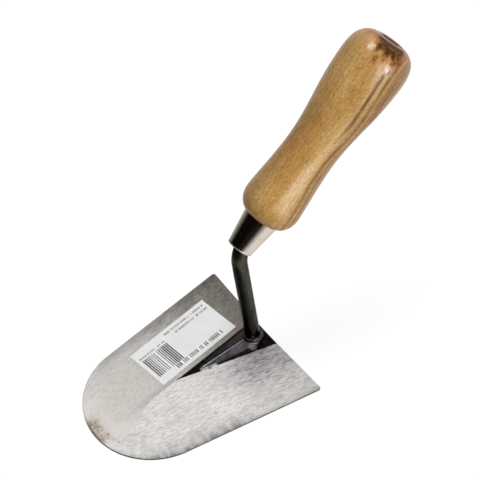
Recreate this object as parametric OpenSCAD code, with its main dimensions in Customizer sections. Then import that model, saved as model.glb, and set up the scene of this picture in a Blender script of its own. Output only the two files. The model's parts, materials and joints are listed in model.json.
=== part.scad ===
// Round-nosed mason's trowel standing on its blade.
// Millimetres. +X points to the toe, +Y to the left, +Z up.
// The origin is on the underside of the blade, below the middle of the neck.

/* [Blade] */
// Length of the blade along its middle, from heel to toe
blade_len = 125; // [105:1:150]
// Width of the blade across the two heel corners
heel_w = 113; // [100:1:130]
// Angle by which each side closes in towards the toe, in degrees
side_taper = 8.3; // [5:0.1:11]
// Thickness of the steel sheet
blade_t = 1.4; // [1:0.1:2.5]
// Distance by which the heel corners lie behind the middle of the heel
heel_sweep = 1.5; // [0:0.1:4]
// Width of the straight stretch in the middle of the heel
heel_flat_w = 16; // [8:1:40]
// Rounding of the two heel corners
corner_r = 1.6; // [0.5:0.1:5]

/* [Neck] */
// Diameter of the round bar that makes the neck and the tang
bar_d = 9.5; // [8:0.1:11]
// Distance from the heel to the middle of the neck
neck_setback = 8.4; // [7.5:0.1:14]
// Lean of the neck towards the toe, in degrees from upright
neck_lean = 3.5; // [0:0.1:10]
// Straight length of the neck, from the blade to the bend
neck_len = 74.5; // [50:0.5:100]
// Radius of the bend at the middle of the bar
bend_r = 26; // [22:0.5:40]
// Angle of the handle above the blade, in degrees
handle_rise = 41.5; // [20:0.5:60]
// Step from the bar's surface down to the tang's
tang_relief = 0.1; // [0.05:0.05:0.5]
// Length of the tang past the handle's shoulder
tang_len = 82; // [50:1:88]
// Length of the taper at the tang's end
tang_taper = 12; // [4:0.5:20]
// Diameter left at the tip of the tang
tang_tip_d = 5; // [2:0.5:7]

/* [Foot] */
// Length of the foot from the middle of the neck to its tip
foot_len = 39.4; // [25:0.2:50]
// Width of the foot across its wings
foot_w = 18.4; // [16:0.2:26]
// Distance of the wings ahead of the middle of the neck
wing_x = 3.6; // [0:0.2:6]
// Width of the foot's blunt tip
tip_w = 3.2; // [2:0.1:6]
// Height of the crest above the blade at the tip
tip_h = 0.9; // [0.7:0.1:1.6]
// Distance from the heel to the back of the foot
foot_margin = 1; // [0.5:0.1:2]
// Height of the foot's crest above the blade
crest_h = 2.8; // [2.2:0.1:4]
// Distance from the middle of the neck to the front end of the level crest
crest_reach = 6.6; // [5:0.1:12]
// Distance from the foot's back to the back end of the level crest
crest_inset = 0.8; // [0.4:0.1:2]
// Thickness of the foot's outer edge
foot_edge_t = 0.4; // [0.2:0.1:1]
// Height of the seat for the neck's weld above the blade
seat_h = 2.1; // [1.4:0.1:2.6]
// Width of the seat outside the weld ring
seat_lip = 0.6; // [0.3:0.1:1.2]

/* [Welds] */
// Width of the weld ring round the neck
ring_w = 1; // [0.6:0.1:1.6]
// Height of the weld ring
ring_h = 1.8; // [1:0.1:3]
// Radius of each tack weld along the foot
tack_r = 1.3; // [0.8:0.1:2.5]
// Distance of the flank tacks from the foot's tip
tack_back = 5.5; // [4:0.5:18]

/* [Ferrule] */
// Length of the ferrule
ferrule_len = 21.8; // [18:0.2:26]
// Outer diameter of the ferrule where it meets the handle
ferrule_d = 21.8; // [20:0.1:26]
// Thickness of the ferrule's sheet metal
ferrule_wall = 0.6; // [0.4:0.05:1]

/* [Handle] */
// Length of the handle from its shoulder to its butt
handle_len = 124.9; // [115:0.1:145]
// Length of the tenon inside the ferrule
tenon_len = 10.5; // [7:0.1:14]
// Width of wood that shows round the ferrule on the shoulder
shoulder_lip = 0.3; // [0.1:0.1:1]
// Diameter of the knob next to the ferrule
knob_d = 35.5; // [32:0.1:40]
// Distance of the knob's widest place from the shoulder
knob_at = 11.4; // [9:0.1:15]
// Diameter of the waist
waist_d = 30.8; // [26:0.1:34]
// Distance of the waist from the shoulder
waist_at = 48; // [40:0.5:60]
// Diameter of the swell near the butt
swell_d = 40.7; // [36:0.1:46]
// Distance of the swell's widest place from the butt
swell_back = 18.1; // [16:0.1:30]
// Diameter of the flat end face
butt_face_d = 16.8; // [14:0.1:20]
// Diameter of the hanging hole in the butt
hang_d = 11.4; // [10.6:0.1:13]
// Depth of the hanging hole
hang_depth = 30; // [15:0.5:35]

/* [Sticker] */
// Length of the paper sticker
sticker_len = 60.5; // [40:0.5:70]
// Width of the paper sticker
sticker_w = 31; // [20:0.5:34]
// Thickness of the paper sticker
sticker_t = 0.15; // [0.1:0.05:0.3]
// Distance from the heel to the sticker's nearest corner
sticker_from_heel = 12.6; // [8:0.1:30]
// Gap between the sticker's corner and the line of the foot's wing
sticker_gap = 3.3; // [0.5:0.1:6]

/* [Fits] */
// Gap all round between the neck and its socket in the foot
socket_gap = 0.1; // [0.05:0.05:0.3]
// Gap all round between the tang and its bore
tang_gap = 0.1; // [0.05:0.05:0.3]
// Gap all round between the ferrule and the tenon
ferrule_gap = 0.1; // [0.05:0.05:0.3]
// Gap between the bent neck and the ferrule's mouth
mouth_gap = 0.15; // [0.05:0.05:0.5]
// Straight length of the bar between the bend and the tenon
bend_clear = 1.1; // [0.5:0.1:4]

/* [Hidden] */
$fn = 96;
// Overlap that lets a cutter run past the face that it cuts
past = 1;
// Segments in a corner, in the toe and in one stretch of a turned curve
corner_steps = 8;
toe_steps = 72;
curve_steps = 14;

// Rise of the wood straight off the shoulder, and of the butt off its end face
shoulder_rise = 0.9;
butt_rise = 6.6;
// Reach of the curves' guide points before and after each place, as shares of the stretch there
knob_before = 0.74;
knob_after = 0.14;
waist_before = 0.33;
waist_after = 0.38;
swell_before = 0.43;
swell_after = 0.76;
butt_before = 0.072;

bar_r = bar_d / 2;
tang_r = bar_r - tang_relief;
heel_x = -neck_setback;
toe_x = heel_x + blade_len;
// The toe's arc runs into both sides without a corner
side_reach = heel_w / 2 * cos(side_taper) - (blade_len + heel_sweep) * sin(side_taper);
toe_r = side_reach / (1 - sin(side_taper));

// The bar turns from the neck's line into the handle's line
bend_turn = neck_lean + 90 - handle_rise;
shoulder_x = tenon_len + bend_clear;

// The mouth clears the bar, which is still bending where it passes the ferrule's edge
mouth_back = ferrule_len - shoulder_x;
mouth_turn = asin(mouth_back / bend_r);
mouth_r = bend_r * (1 - cos(mouth_turn)) + bar_r / cos(mouth_turn) + mouth_gap;
ferrule_r = ferrule_d / 2;

seat_r = bar_r + ring_w + seat_lip;
foot_back = neck_setback - foot_margin;
collar_r = ferrule_r + shoulder_lip;

// Points of an arc about a centre
function arc(centre, r, from, to, steps) =
    [for (i = [0:steps]) let (a = from + (to - from) * i / steps) centre + r * [cos(a), sin(a)]];

// Points of a cubic curve through two ends with two guide points
function curve(a, b, c, d, steps) =
    [for (i = [1:steps]) let (t = i / steps, s = 1 - t)
        s * s * s * a + 3 * t * s * s * b + 3 * t * t * s * c + t * t * t * d];

// Left half of the blade's outline, from the heel's flat stretch to the toe
function half_blade() =
    let (
        corner = [heel_x - heel_sweep, heel_w / 2],
        flat_end = [heel_x, heel_flat_w / 2],
        heel_way = flat_end - corner,
        side_way = [cos(side_taper), -sin(side_taper)],
        heel_dir = heel_way / norm(heel_way),
        half_angle = acos(heel_dir * side_way) / 2,
        bisector = (heel_dir + side_way) / norm(heel_dir + side_way),
        corner_centre = corner + bisector * corner_r / sin(half_angle),
        heel_normal = atan2(heel_dir[1], heel_dir[0]) - 90,
        toe_centre = [toe_x - toe_r, 0]
    )
    concat(
        [flat_end],
        arc(corner_centre, corner_r, heel_normal + 360, 90 - side_taper, corner_steps),
        arc(toe_centre, toe_r, 90 - side_taper, 0, toe_steps / 2)
    );

// Turned outline of the handle, from the tenon to the butt
function handle_outline() =
    let (
        knob_r = knob_d / 2,
        waist_r = waist_d / 2,
        swell_r = swell_d / 2,
        face_r = butt_face_d / 2,
        swell_at = handle_len - swell_back,
        knob_to_waist = waist_at - knob_at,
        waist_to_swell = swell_at - waist_at,
        knob = [knob_r, knob_at],
        waist = [waist_r, waist_at],
        swell = [swell_r, swell_at],
        butt = [face_r, handle_len],
        shoulder = [collar_r, 0]
    )
    concat(
        [[0, -tenon_len], [tenon_r(tenon_len), -tenon_len], [tenon_r(0), 0], shoulder],
        curve(
            shoulder, shoulder + [shoulder_rise, 0],
            knob - [0, knob_before * knob_at], knob, curve_steps
        ),
        curve(
            knob, knob + [0, knob_after * knob_to_waist],
            waist - [0, waist_before * knob_to_waist], waist, curve_steps
        ),
        curve(
            waist, waist + [0, waist_after * waist_to_swell],
            swell - [0, swell_before * waist_to_swell], swell, curve_steps
        ),
        curve(
            swell, swell + [0, swell_after * swell_back],
            butt + [butt_rise, -butt_before * swell_back], butt, curve_steps
        ),
        [[0, handle_len]]
    );

// Outer radius of the ferrule, its bore and the tenon at a distance from the shoulder
function ferrule_out(back) = ferrule_r + (mouth_r + ferrule_wall - ferrule_r) * back / ferrule_len;
function ferrule_in(back) = ferrule_out(back) - ferrule_wall;
function tenon_r(back) = ferrule_in(back) - ferrule_gap;

// Places things on the neck's line, from the top of the blade upwards
module on_neck() {
    translate([0, 0, blade_t]) rotate([0, neck_lean, 0]) children();
}

// Places things on the handle's line, from the end of the bend outwards
module on_tang() {
    on_neck()
        translate([-bend_r, 0, neck_len])
        rotate([0, -bend_turn, 0])
        translate([bend_r, 0, 0]) children();
}

// Places things on the handle's line, from the handle's shoulder outwards
module on_handle() {
    on_tang() translate([0, 0, shoulder_x]) children();
}

// Everything below the top of the blade, near the foot
module below_blade_top() {
    translate([heel_x - past, -foot_w, -foot_w]) cube([blade_len, 2 * foot_w, foot_w + blade_t]);
}

module blade() {
    left = half_blade();
    right = [for (i = [len(left) - 2:-1:0]) [left[i][0], -left[i][1]]];
    color("silver") linear_extrude(blade_t) polygon(concat(left, right));
}

// Kite-shaped block with a blunt tip, and a level crest that runs down to it
module foot_block() {
    base = [
        [-foot_back, 0], [wing_x, foot_w / 2], [foot_len, tip_w / 2],
        [foot_len, -tip_w / 2], [wing_x, -foot_w / 2]
    ];
    low = [for (p = base) [p[0], p[1], blade_t]];
    edge = [for (p = base) [p[0], p[1], blade_t + foot_edge_t]];
    crest = [
        [crest_inset - foot_back, 0, blade_t + crest_h],
        [crest_reach, 0, blade_t + crest_h],
        [foot_len, 0, blade_t + tip_h]
    ];
    polyhedron(
        points = concat(low, edge, crest),
        faces = [
            [4, 3, 2, 1, 0],
            [0, 1, 6, 5], [1, 2, 7, 6], [2, 3, 8, 7], [3, 4, 9, 8], [4, 0, 5, 9],
            [5, 6, 10], [6, 11, 10], [6, 7, 11], [7, 12, 11], [7, 8, 12],
            [12, 8, 11], [8, 9, 11], [9, 10, 11], [9, 5, 10]
        ]
    );
}

module foot() {
    color([0.2, 0.2, 0.2]) difference() {
        union() {
            foot_block();
            on_neck() translate([0, 0, -past]) cylinder(r = seat_r, h = seat_h + past);
        }
        on_neck() translate([0, 0, seat_h]) cylinder(r = seat_r, h = crest_h);
        on_neck() translate([0, 0, -past]) cylinder(r = bar_r + socket_gap, h = seat_h + 2 * past);
        below_blade_top();
    }
}

module shank() {
    color([0.17, 0.17, 0.16]) difference() {
        union() {
            on_neck() translate([0, 0, -past]) cylinder(r = bar_r, h = neck_len + past);
            on_neck() translate([-bend_r, 0, neck_len]) rotate([90, 0, 0])
                rotate_extrude(angle = bend_turn) translate([bend_r, 0]) circle(r = bar_r);
            on_tang() translate([0, 0, -past])
                cylinder(r = tang_r, h = past + shoulder_x + tang_len - tang_taper);
            on_handle() translate([0, 0, tang_len - tang_taper])
                cylinder(r1 = tang_r, r2 = tang_tip_d / 2, h = tang_taper);
        }
        below_blade_top();
    }
}

module neck_weld() {
    inner = bar_r + socket_gap;
    profile = concat(
        [[inner, 0], [bar_r + ring_w, 0]],
        [for (i = [1:corner_steps]) let (a = 90 * i / corner_steps)
            [inner + (bar_r + ring_w - inner) * cos(a), ring_h * sin(a)]]
    );
    color([0.25, 0.24, 0.24]) on_neck() translate([0, 0, seat_h]) rotate_extrude() polygon(profile);
}

module foot_tacks() {
    flank = [foot_len - wing_x, (foot_w - tip_w) / 2];
    along = tack_back * flank / norm(flank);
    color([0.45, 0.44, 0.44]) difference() {
        union() {
            translate([foot_len, 0, blade_t]) sphere(r = tack_r);
            for (side = [-1, 1])
                translate([foot_len - along[0], side * (tip_w / 2 + along[1]), blade_t])
                    sphere(r = tack_r);
        }
        foot_block();
        below_blade_top();
    }
}

module ferrule() {
    mouth_out = ferrule_out(ferrule_len);
    round_r = ferrule_wall / 2;
    profile = concat(
        [[ferrule_in(0), 0], [ferrule_in(ferrule_len - round_r), round_r - ferrule_len]],
        arc([mouth_out - round_r, round_r - ferrule_len], round_r, 180, 360, corner_steps),
        [[ferrule_out(0), 0]]
    );
    color([0.85, 0.83, 0.8]) on_handle() rotate_extrude() polygon(profile);
}

module handle() {
    color([0.74, 0.56, 0.33]) on_handle() difference() {
        rotate_extrude() polygon(handle_outline());
        translate([0, 0, -tenon_len - past])
            cylinder(r = tang_r + tang_gap, h = tenon_len + past + handle_len);
        translate([0, 0, handle_len - hang_depth]) cylinder(d = hang_d, h = hang_depth + past);
    }
}

module sticker() {
    color("white")
        translate([heel_x + sticker_from_heel, -foot_w / 2 - sticker_gap, blade_t])
        rotate([0, 0, side_taper])
        translate([0, -sticker_w, 0]) cube([sticker_len, sticker_w, sticker_t]);
}

blade();
foot();
shank();
neck_weld();
foot_tacks();
ferrule();
handle();
sticker();
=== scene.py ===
# Brick trowel standing on its blade: each piece's surface and finish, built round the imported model.
import json
import math

import bmesh
import bpy
from mathutils import Matrix, Vector


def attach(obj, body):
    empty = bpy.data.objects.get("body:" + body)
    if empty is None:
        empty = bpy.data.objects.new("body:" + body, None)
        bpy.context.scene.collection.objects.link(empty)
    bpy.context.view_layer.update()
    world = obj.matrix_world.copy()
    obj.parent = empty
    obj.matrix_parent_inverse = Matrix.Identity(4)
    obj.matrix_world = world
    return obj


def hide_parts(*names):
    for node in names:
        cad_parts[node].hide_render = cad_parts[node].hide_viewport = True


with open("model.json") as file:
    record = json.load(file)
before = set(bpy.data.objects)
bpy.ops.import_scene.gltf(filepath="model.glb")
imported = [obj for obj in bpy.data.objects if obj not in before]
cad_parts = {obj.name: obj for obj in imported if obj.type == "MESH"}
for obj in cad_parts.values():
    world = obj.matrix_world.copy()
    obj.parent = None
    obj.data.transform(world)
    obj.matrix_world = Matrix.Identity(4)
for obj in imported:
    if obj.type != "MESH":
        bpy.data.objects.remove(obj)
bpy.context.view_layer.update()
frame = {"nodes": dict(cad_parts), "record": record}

# Metres in a millimetre, and the distance in mm below which two points are one
MM = 0.001
MERGE = 0.001

# Sizes in millimetres, as the solids have them
BLADE_LEN = 125
HEEL_W = 113
SIDE_TAPER = math.radians(8.3)
BLADE_T = 1.4
HEEL_SWEEP = 1.5
HEEL_FLAT_W = 16
CORNER_R = 1.6
NECK_SETBACK = 8.4
HEEL_X = -NECK_SETBACK
TOE_X = HEEL_X + BLADE_LEN
BAR_R = 4.75
NECK_LEAN = math.radians(3.5)
NECK_LEN = 74.5
BEND_R = 26
TANG_R = 4.65
TANG_LEN = 82
TANG_TAPER = 12
TANG_TIP_R = 2.5
SEAT_H = 2.1
RING_W = 1
RING_H = 1.8
SOCKET_GAP = 0.1
FERRULE_LEN = 21.8
FERRULE_R = 10.9
MOUTH_R = 8.0
FERRULE_WALL = 0.6
FERRULE_GAP = 0.1
HANDLE_LEN = 124.9
TENON_LEN = 10.5
BORE_R = 4.75
STICKER_LEN = 60.5
STICKER_W = 31
STICKER_T = 0.15
STICKER_CORNER = Vector((4.2, -12.5, 0))

# The hanging hole in the butt gives the handle's line
hang_hole = next(m for m in frame["record"]["mounts"] if m["name"] == "hang_hole")
HOLE_R = hang_hole["dims"]["r_mm"]
HOLE_DEPTH = hang_hole["dims"]["length_mm"]
HANDLE_AXIS = Vector(hang_hole["axis"]).normalized()
BUTT = Vector(hang_hole["pos_m"]) / MM + HANDLE_AXIS * HOLE_DEPTH / 2
SHOULDER = BUTT - HANDLE_AXIS * HANDLE_LEN
HANDLE_TURN = math.atan2(-HANDLE_AXIS.x, HANDLE_AXIS.z)
BEND_TURN = NECK_LEAN + HANDLE_TURN

SCALE = Matrix.Scale(MM, 4)
ON_HANDLE = SCALE @ Matrix.Translation(SHOULDER) @ Matrix.Rotation(-HANDLE_TURN, 4, "Y")
ON_NECK = SCALE @ Matrix.Translation((0, 0, BLADE_T)) @ Matrix.Rotation(NECK_LEAN, 4, "Y")


# Node trees


class Wire:
    """An output of a node. Arithmetic on it adds math nodes to its tree."""

    def __init__(self, wiring, socket):
        self.wiring = wiring
        self.socket = socket

    def __add__(self, other):
        return self.wiring.math("ADD", self, other)

    def __radd__(self, other):
        return self.wiring.math("ADD", other, self)

    def __sub__(self, other):
        return self.wiring.math("SUBTRACT", self, other)

    def __rsub__(self, other):
        return self.wiring.math("SUBTRACT", other, self)

    def __mul__(self, other):
        return self.wiring.math("MULTIPLY", self, other)

    def __rmul__(self, other):
        return self.wiring.math("MULTIPLY", other, self)


class Wiring:
    """A node tree, with short ways to add the nodes that the shapes and finishes need."""

    def __init__(self, tree):
        self.tree = tree

    def add(self, kind, inputs=None, **settings):
        """A new node with its settings, and with a wire or a value on each input that is named."""
        node = self.tree.nodes.new(kind)
        for name, value in settings.items():
            setattr(node, name, value)
        for key, value in (inputs or {}).items():
            self.feed(node.inputs[key], value)
        return node

    def feed(self, socket, value):
        """Brings a wire to a socket, or sets its value."""
        if isinstance(value, Wire):
            self.tree.links.new(value.socket, socket)
        else:
            socket.default_value = value

    def out(self, node, key=0):
        """The wire from one of a node's outputs."""
        return Wire(self, node.outputs[key])

    def math(self, operation, *values):
        """A math node on numbers, by the name of its operation."""
        return self.out(self.add("ShaderNodeMath", dict(enumerate(values)), operation=operation))

    def vector(self, operation, *values):
        """A math node on vectors, by the name of its operation."""
        return self.out(self.add("ShaderNodeVectorMath", dict(enumerate(values)), operation=operation))

    def split(self, vector):
        """The X, Y and Z of a vector."""
        node = self.add("ShaderNodeSeparateXYZ", {0: vector})
        return [self.out(node, axis) for axis in range(3)]

    def point(self, x, y, z=0.0):
        """A vector from its X, Y and Z."""
        return self.out(self.add("ShaderNodeCombineXYZ", {0: x, 1: y, 2: z}))

    def noise(self, where, size, detail=2.0, roughness=0.5):
        """Soft random values about 0.5, with lumps of this size along X, Y and Z."""
        places = self.vector("DIVIDE", where, size)
        settings = {"Vector": places, "Scale": 1.0, "Detail": detail, "Roughness": roughness}
        return self.out(self.add("ShaderNodeTexNoise", settings))

    def rise(self, value, low, high):
        """A soft step from 0 at low to 1 at high, which may lie below low."""
        inputs = {"Value": value, "From Min": low, "From Max": high}
        return self.out(self.add("ShaderNodeMapRange", inputs, interpolation_type="SMOOTHSTEP"))

    def far_off(self, x, y):
        """Distance from the origin of a plane."""
        return self.math("SQRT", x * x + y * y)

    def shade(self, colour, factor):
        """A colour made darker or lighter, or a direction made longer, by a factor."""
        return self.out(self.add("ShaderNodeVectorMath", {0: colour, "Scale": factor}, operation="SCALE"))

    def mix(self, share, first, second):
        """A colour between two."""
        return self.out(self.add("ShaderNodeMix", {0: share, 6: first, 7: second}, data_type="RGBA"), 2)

    def blend(self, share, first, second):
        """A number between two."""
        return self.out(self.add("ShaderNodeMix", {0: share, 2: first, 3: second}, data_type="FLOAT"))


# Shapes


def piece(name, mesh, crease=40):
    """A finished piece at the origin, closed, with its faces outwards and soft below a crease angle."""
    shape = bmesh.new()
    shape.from_mesh(mesh)
    bmesh.ops.remove_doubles(shape, verts=shape.verts, dist=MERGE * MM)
    bmesh.ops.recalc_face_normals(shape, faces=shape.faces)
    shape.to_mesh(mesh)
    shape.free()
    mesh.polygons.foreach_set("use_smooth", [True] * len(mesh.polygons))
    mesh.set_sharp_from_angle(angle=math.radians(crease))
    made = bpy.data.objects.new(name, mesh)
    bpy.context.scene.collection.objects.link(made)
    return made


def plain_mesh(holder):
    """The mesh of an object with its modifiers worked in. The object itself is removed."""
    bpy.context.scene.collection.objects.link(holder)
    bpy.context.view_layer.update()
    worked = holder.evaluated_get(bpy.context.evaluated_depsgraph_get())
    mesh = bpy.data.meshes.new_from_object(worked)
    bpy.data.objects.remove(holder)
    return mesh


def drawn_mesh(name, shape, *finishes):
    """The mesh of a shape drawn in mm, with its finishes. The shape itself is freed."""
    mesh = bpy.data.meshes.new(name)
    shape.to_mesh(mesh)
    shape.free()
    mesh.transform(SCALE)
    for finish in finishes:
        mesh.materials.append(finish)
    return mesh


def add_tree(holder, tree, settings):
    """Puts a geometry tree on an object and sets the tree's inputs."""
    modifier = holder.modifiers.new(tree.name, "NODES")
    modifier.node_group = tree
    sockets = {s.name: s.identifier for s in tree.interface.items_tree if s.in_out == "INPUT"}
    for name, value in settings.items():
        modifier[sockets[name]] = value


def made_by(tree, settings, place):
    """The plain mesh that a geometry tree makes by itself, put in its place."""
    holder = bpy.data.objects.new("holder", bpy.data.meshes.new("holder"))
    add_tree(holder, tree, settings)
    mesh = plain_mesh(holder)
    mesh.transform(place)
    return mesh


SOCKET_KINDS = {"Finish": "NodeSocketMaterial", "Geometry": "NodeSocketGeometry", "Path": "NodeSocketObject"}


def geometry_tree(name, inputs, kinds=SOCKET_KINDS):
    """A new geometry tree with named inputs, and the wires that carry them."""
    tree = bpy.data.node_groups.new(name, "GeometryNodeTree")
    tree.interface.new_socket("Geometry", in_out="OUTPUT", socket_type="NodeSocketGeometry")
    for word in inputs:
        kind = kinds.get(word, "NodeSocketFloat")
        tree.interface.new_socket(word, in_out="INPUT", socket_type=kind)
    wiring = Wiring(tree)
    group = wiring.add("NodeGroupInput")
    return wiring, {word: wiring.out(group, word) for word in inputs}


def roughen(wiring, geometry, depth, size):
    """Moves a surface in and out by soft noise of this depth and lump size."""
    where = wiring.out(wiring.add("GeometryNodeInputPosition"))
    lumps = wiring.noise(where, wiring.point(size, size, size), detail=3.0) - 0.5
    normal = wiring.out(wiring.add("GeometryNodeInputNormal"))
    offset = wiring.shade(normal, lumps * depth)
    return wiring.out(wiring.add("GeometryNodeSetPosition", {"Geometry": geometry, "Offset": offset}))


def end_tree(wiring, geometry, finish):
    """Closes a tree: instances become mesh, and the mesh takes its finish."""
    real = wiring.out(wiring.add("GeometryNodeRealizeInstances", {"Geometry": geometry}))
    dressed = wiring.out(wiring.add("GeometryNodeSetMaterial", {"Geometry": real, "Material": finish}))
    wiring.add("NodeGroupOutput", {0: dressed})
    return wiring.tree


LATHE_RAIL = 0.5
LATHE_STEPS = 192
LATHE_WELD = 0.0005
CURVE_STEPS = 28


class Outline:
    """The outline of a turned piece, drawn as radius and distance along the axis."""

    def __init__(self, wiring):
        self.wiring = wiring
        self.curves = []

    def at(self, radius, along):
        """A point of the outline, measured from the circle that it is swept round."""
        wiring = self.wiring
        outwards = wiring.math("SUBTRACT", radius, LATHE_RAIL)
        return wiring.point(outwards, wiring.math("MULTIPLY", along, -1.0))

    def lines(self, *points):
        """Straight stretches through points given as radius and distance along."""
        for start, end in zip(points, points[1:]):
            ends = {"Start": self.at(*start), "End": self.at(*end)}
            self.curves.append(self.wiring.add("GeometryNodeCurvePrimitiveLine", ends))

    def bend(self, start, start_guide, end_guide, end):
        """One cubic curve between two points with a guide point for each end."""
        names = ("Start", "Start Handle", "End Handle", "End")
        places = (start, start_guide, end_guide, end)
        inputs = {name: self.at(*place) for name, place in zip(names, places)}
        inputs["Resolution"] = CURVE_STEPS
        self.curves.append(self.wiring.add("GeometryNodeCurvePrimitiveBezierSegment", inputs))

    def swing(self, start, end, after, before):
        """A curve along the axis at both its ends, with guides at shares of the way between them."""
        way = end[1] - start[1]
        self.bend(start, (start[0], start[1] + way * after), (end[0], end[1] - way * before), end)

    def turned(self, depth, size):
        """The outline swept round the axis, welded and a little uneven."""
        wiring = self.wiring
        circle = {"Resolution": LATHE_STEPS, "Radius": LATHE_RAIL}
        rail = wiring.add("GeometryNodeCurvePrimitiveCircle", circle)
        join = wiring.add("GeometryNodeJoinGeometry")
        for curve in reversed(self.curves):
            wiring.feed(join.inputs[0], wiring.out(curve))
        sweep = {"Curve": wiring.out(rail), "Profile Curve": wiring.out(join)}
        skin = wiring.out(wiring.add("GeometryNodeCurveToMesh", sweep))
        welded = wiring.add("GeometryNodeMergeByDistance", {"Geometry": skin, "Distance": LATHE_WELD})
        return roughen(wiring, wiring.out(welded), depth, size)


SWELL_BACK = 18.1
HANDLE_SIZES = {
    "Length": HANDLE_LEN,
    "Tenon length": TENON_LEN,
    "Tenon radius": FERRULE_R - FERRULE_WALL - FERRULE_GAP,
    "Tenon end radius": 8.8,
    "Collar radius": 11.2,
    "Knob radius": 17.75,
    "Knob place": 11.4,
    "Waist radius": 15.4,
    "Waist place": 48.0,
    "Swell radius": 20.35,
    "Swell place": HANDLE_LEN - SWELL_BACK,
    "Face radius": 8.4,
    "Hole radius": HOLE_R,
    "Hole depth": HOLE_DEPTH,
    "Bore radius": BORE_R,
    "Edge": 0.5,
    "Unevenness": 0.12,
    "Lump size": 14.0,
}
# Rise of the wood straight off the shoulder, and of the butt off its end face
SHOULDER_RISE = 0.9
BUTT_RISE = 6.6
# Reach of the curves' guide points, as shares of the stretch there
KNOB_BEFORE = 0.74
KNOB_AFTER = 0.14
WAIST_BEFORE = 0.33
WAIST_AFTER = 0.38
SWELL_BEFORE = 0.43
SWELL_AFTER = 0.76
BUTT_BEFORE = 0.072


def turned_piece(name, outline, size, sizes, finish, place, crease=40):
    """Sweeps an outline round its axis and makes the skin a piece in its place."""
    skin = outline.turned(size["Unevenness"], size["Lump size"])
    tree = end_tree(outline.wiring, skin, size["Finish"])
    return piece(name, made_by(tree, {**sizes, "Finish": finish}, place), crease)


def turned_handle(finish):
    """The wooden handle: knob, waist and swell, with the tang's bore and the hanging hole."""
    wiring, size = geometry_tree("turned handle", [*HANDLE_SIZES, "Finish"])
    length = size["Length"]
    knob = (size["Knob radius"], size["Knob place"])
    waist = (size["Waist radius"], size["Waist place"])
    swell = (size["Swell radius"], size["Swell place"])
    face = (size["Face radius"], length)
    collar = (size["Collar radius"], 0.0)
    to_butt = length - swell[1]
    tenon_end = size["Tenon length"] * -1.0
    bore_mouth = (size["Bore radius"], tenon_end)
    outline = Outline(wiring)
    outline.lines(bore_mouth, (size["Tenon end radius"], tenon_end), (size["Tenon radius"], 0.0), collar)
    outline.bend(collar, (collar[0] + SHOULDER_RISE, 0.0), (knob[0], knob[1] * (1 - KNOB_BEFORE)), knob)
    outline.swing(knob, waist, KNOB_AFTER, WAIST_BEFORE)
    outline.swing(waist, swell, WAIST_AFTER, SWELL_BEFORE)
    outline.bend(
        swell,
        (swell[0], swell[1] + to_butt * SWELL_AFTER),
        (face[0] + BUTT_RISE, length - to_butt * BUTT_BEFORE),
        face,
    )
    hole = size["Hole radius"]
    hole_end = length - size["Hole depth"]
    rim = (hole + size["Edge"], length)
    lip = (hole, length - size["Edge"])
    outline.lines(face, rim)
    outline.bend(rim, (hole, length), (hole, length), lip)
    outline.lines(lip, (hole, hole_end), (size["Bore radius"], hole_end), bore_mouth)
    return turned_piece("turned_handle", outline, size, HANDLE_SIZES, finish, ON_HANDLE)


FERRULE_SIZES = {
    "Length": FERRULE_LEN,
    "Radius": FERRULE_R,
    "Mouth radius": MOUTH_R,
    "Wall": FERRULE_WALL,
    "Mouth edge": 1.1,
    "Unevenness": 0.03,
    "Lump size": 7.0,
}


def plated_ferrule(finish):
    """The tapered sleeve between neck and handle, with its mouth edge turned in."""
    wiring, size = geometry_tree("plated ferrule", [*FERRULE_SIZES, "Finish"])
    mouth = size["Length"] * -1.0
    edge = size["Mouth edge"]
    inner = size["Mouth radius"] - size["Wall"]
    outer_start = (size["Radius"], 0.0)
    outer_end = (size["Mouth radius"], mouth + edge)
    lip = (inner, mouth)
    outline = Outline(wiring)
    outline.lines(outer_start, outer_end)
    outline.bend(outer_end, (size["Mouth radius"], mouth), (size["Mouth radius"], mouth), lip)
    outline.lines(lip, (inner, mouth + edge), (size["Radius"] - size["Wall"], 0.0), outer_start)
    return turned_piece("plated_ferrule", outline, size, FERRULE_SIZES, finish, ON_HANDLE, crease=60)


BEAD_SIZES = {
    "Inner radius": BAR_R + SOCKET_GAP,
    "Width": RING_W - SOCKET_GAP,
    "Height": RING_H,
    "Foot": SEAT_H,
    "Unevenness": 0.5,
    "Lump size": 2.2,
}


def weld_bead(finish):
    """The ring of weld that holds the neck on the foot."""
    wiring, size = geometry_tree("weld bead", [*BEAD_SIZES, "Finish"])
    inner = size["Inner radius"]
    outer = inner + size["Width"]
    foot = size["Foot"]
    top = foot + size["Height"]
    outline = Outline(wiring)
    outline.lines((inner, top), (inner, foot), (outer, foot))
    outline.bend((outer, foot), (outer, top), (outer, top), (inner, top))
    return turned_piece("weld_bead", outline, size, BEAD_SIZES, finish, ON_NECK, crease=70)


BAR_SIDES = 64
BEND_STEPS = 40
STRAIGHT_STEPS = 60
BAR_INPUTS = ["Path", "Unevenness", "Lump size", "Finish"]
BAR_UNEVENNESS = 0.14
BAR_LUMP = 5.0


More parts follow.
